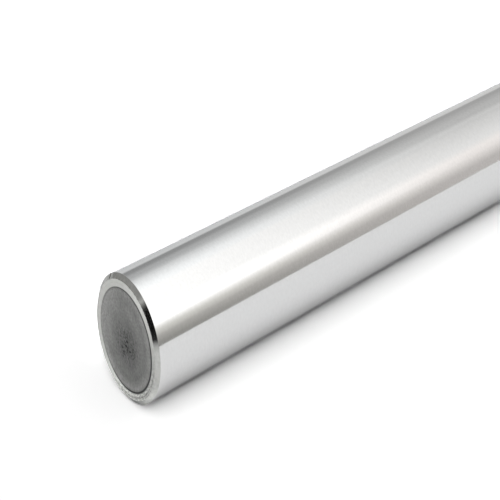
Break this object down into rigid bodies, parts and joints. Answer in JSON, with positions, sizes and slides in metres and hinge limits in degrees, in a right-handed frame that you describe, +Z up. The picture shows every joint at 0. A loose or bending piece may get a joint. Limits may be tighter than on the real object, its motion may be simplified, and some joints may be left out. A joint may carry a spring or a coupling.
{
  "type": "precision linear shaft",
  "caption": "Solid round steel guide shaft, hardened, ground and polished bright, with a small bevel at each end so that a linear bearing slides on.",
  "frame": {"origin": "centre of the shaft, on its axis at the middle of its length", "axes": "+X along the shaft's axis, from the end shown in the picture to the far end; +Z up, as the shaft lies on a level floor"},
  "size_m": [0.3, 0.02, 0.02],
  "materials": {
    "ground_steel": "hardened, ground and polished bright round the outside, with plain turned ends"
  },
  "bodies": {
    "root": {"shaft": "ground_steel"}
  },
  "joints": []
}
